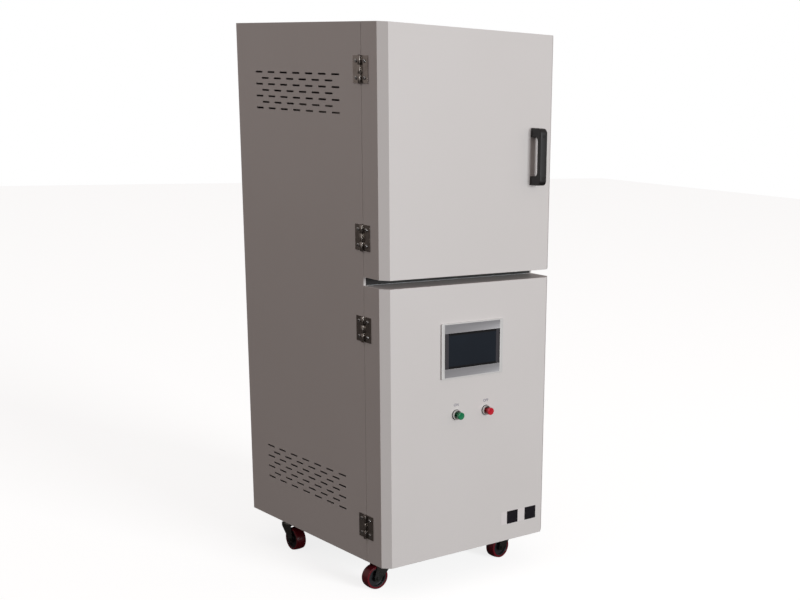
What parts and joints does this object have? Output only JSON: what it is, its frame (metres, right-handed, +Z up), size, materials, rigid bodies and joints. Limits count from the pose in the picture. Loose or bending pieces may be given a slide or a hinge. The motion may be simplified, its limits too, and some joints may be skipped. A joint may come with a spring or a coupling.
{
  "type": "muffle furnace",
  "caption": "Tall cabinet muffle furnace on swivel castors: insulated chamber behind the upper door, electrical compartment behind the lower door with touch panel and push buttons.",
  "frame": {"origin": "on the floor, under the middle of the closed cabinet", "axes": "+X to the right as seen from the front, +Y to the back, +Z up"},
  "size_m": [0.6256, 0.852, 1.631],
  "materials": {
    "cabinet_grey": "satin",
    "galvanised_steel": "matte",
    "front_plate_steel": "satin",
    "stainless": "satin",
    "fibre_board": "matte",
    "gasket_rope": "matte",
    "alumina": "matte",
    "silicide": "satin",
    "sensor_steel": "satin",
    "black_plastic": "matte",
    "device_plastic": "matte",
    "heat_sink": "satin",
    "core_steel": "satin",
    "nickel_brass": "satin",
    "panel_silver": "satin",
    "screen_glass": "gloss",
    "button_ring": "polished",
    "green_cap": "gloss",
    "red_cap": "gloss",
    "castor_steel": "satin",
    "wheel_core": "matte",
    "wheel_tread": "matte"
  },
  "bodies": {
    "cabinet": {"left_side_panel": "cabinet_grey", "right_side_panel": "cabinet_grey", "top_panel": "cabinet_grey", "upper_back_panel": "cabinet_grey", "lower_back_panel": "cabinet_grey", "base_pan": "galvanised_steel", "castor_rails": "galvanised_steel", "mid_shelf": "galvanised_steel", "casing_supports": "galvanised_steel", "mounting_panel": "galvanised_steel", "chamber_front_plate": "front_plate_steel", "chamber_casing": "front_plate_steel", "hinge_cabinet_leaves": "stainless", "hinge_pins": "stainless", "exhaust_port": "stainless", "insulation_floor": "fibre_board", "insulation_roof": "fibre_board", "insulation_walls": "fibre_board", "hearth_plate": "alumina", "element_clamps": "alumina", "heating_elements": "silicide", "thermocouple": "sensor_steel", "door_catches": "black_plastic", "fan_housing": "black_plastic", "circuit_breaker": "device_plastic", "contactor": "device_plastic", "terminal_block": "device_plastic", "power_regulator": "heat_sink", "transformer": "core_steel", "cable_gland": "nickel_brass", "castor_plates": "castor_steel"},
    "upper_door": {"upper_door_skin": "cabinet_grey", "upper_door_pan": "galvanised_steel", "upper_door_hinge_leaves": "stainless", "door_plug": "fibre_board", "door_gasket": "gasket_rope", "door_handle": "black_plastic"},
    "lower_door": {"lower_door_skin": "cabinet_grey", "lower_door_hinge_leaves": "stainless", "hmi_bezel": "panel_silver", "hmi_screen": "screen_glass", "button_bezels": "button_ring", "button_contact_blocks": "black_plastic"},
    "start_button": {"start_button": "green_cap"},
    "stop_button": {"stop_button": "red_cap"},
    "breaker_toggle": {"breaker_toggle": "black_plastic"},
    "fan_rotor": {"fan_rotor": "black_plastic"},
    "front_left_castor": {"front_left_fork": "castor_steel"},
    "front_left_roller": {"front_left_wheel": "wheel_core", "front_left_tread": "wheel_tread"},
    "front_right_castor": {"front_right_fork": "castor_steel"},
    "front_right_roller": {"front_right_wheel": "wheel_core", "front_right_tread": "wheel_tread"},
    "rear_left_castor": {"rear_left_fork": "castor_steel"},
    "rear_left_roller": {"rear_left_wheel": "wheel_core", "rear_left_tread": "wheel_tread"},
    "rear_right_castor": {"rear_right_fork": "castor_steel"},
    "rear_right_roller": {"rear_right_wheel": "wheel_core", "rear_right_tread": "wheel_tread"}
  },
  "joints": [
    {"name": "upper_door_hinge", "type": "hinge", "parent": "cabinet", "child": "upper_door", "pos_m": [-0.313, -0.285, 1.284], "axis": [0, 0, -1], "range_deg": [0, 175]},
    {"name": "lower_door_hinge", "type": "hinge", "parent": "cabinet", "child": "lower_door", "pos_m": [-0.313, -0.285, 0.5085], "axis": [0, 0, -1], "range_deg": [0, 175]},
    {"name": "start_button_press", "type": "slide", "parent": "lower_door", "child": "start_button", "axis": [0, 1, 0], "range_m": [0, 0.004], "stiffness_N_per_m": 800},
    {"name": "stop_button_press", "type": "slide", "parent": "lower_door", "child": "stop_button", "axis": [0, 1, 0], "range_m": [0, 0.004], "stiffness_N_per_m": 800},
    {"name": "breaker_switch", "type": "hinge", "parent": "cabinet", "child": "breaker_toggle", "pos_m": [-0.0061, -0.007, 0.709], "axis": [1, 0, 0], "range_deg": [0, 70]},
    {"name": "fan_spin", "type": "hinge", "parent": "cabinet", "child": "fan_rotor", "pos_m": [0.12, 0.3624, 0.664], "axis": [0, 1, 0], "continuous": true},
    {"name": "front_left_swivel", "type": "hinge", "parent": "cabinet", "child": "front_left_castor", "pos_m": [-0.236, -0.254, 0.0945], "axis": [0, 0, 1], "continuous": true},
    {"name": "front_left_roll", "type": "hinge", "parent": "front_left_castor", "child": "front_left_roller", "pos_m": [-0.261, -0.254, 0.0375], "axis": [0, 1, 0], "continuous": true},
    {"name": "front_right_swivel", "type": "hinge", "parent": "cabinet", "child": "front_right_castor", "pos_m": [0.236, -0.254, 0.0945], "axis": [0, 0, 1], "continuous": true},
    {"name": "front_right_roll", "type": "hinge", "parent": "front_right_castor", "child": "front_right_roller", "pos_m": [0.21124, -0.25748, 0.0375], "axis": [-0.1392, 0.9903, 0], "continuous": true},
    {"name": "rear_left_swivel", "type": "hinge", "parent": "cabinet", "child": "rear_left_castor", "pos_m": [-0.263, 0.223, 0.0945], "axis": [0, 0, 1], "continuous": true},
    {"name": "rear_left_roll", "type": "hinge", "parent": "rear_left_castor", "child": "rear_left_roller", "pos_m": [-0.263, 0.198, 0.0375], "axis": [-1, 0, 0], "continuous": true},
    {"name": "rear_right_swivel", "type": "hinge", "parent": "cabinet", "child": "rear_right_castor", "pos_m": [0.263, 0.223, 0.0945], "axis": [0, 0, 1], "continuous": true},
    {"name": "rear_right_roll", "type": "hinge", "parent": "rear_right_castor", "child": "rear_right_roller", "pos_m": [0.25204, 0.20053, 0.0375], "axis": [-0.8988, 0.4384, 0], "continuous": true}
  ]
}
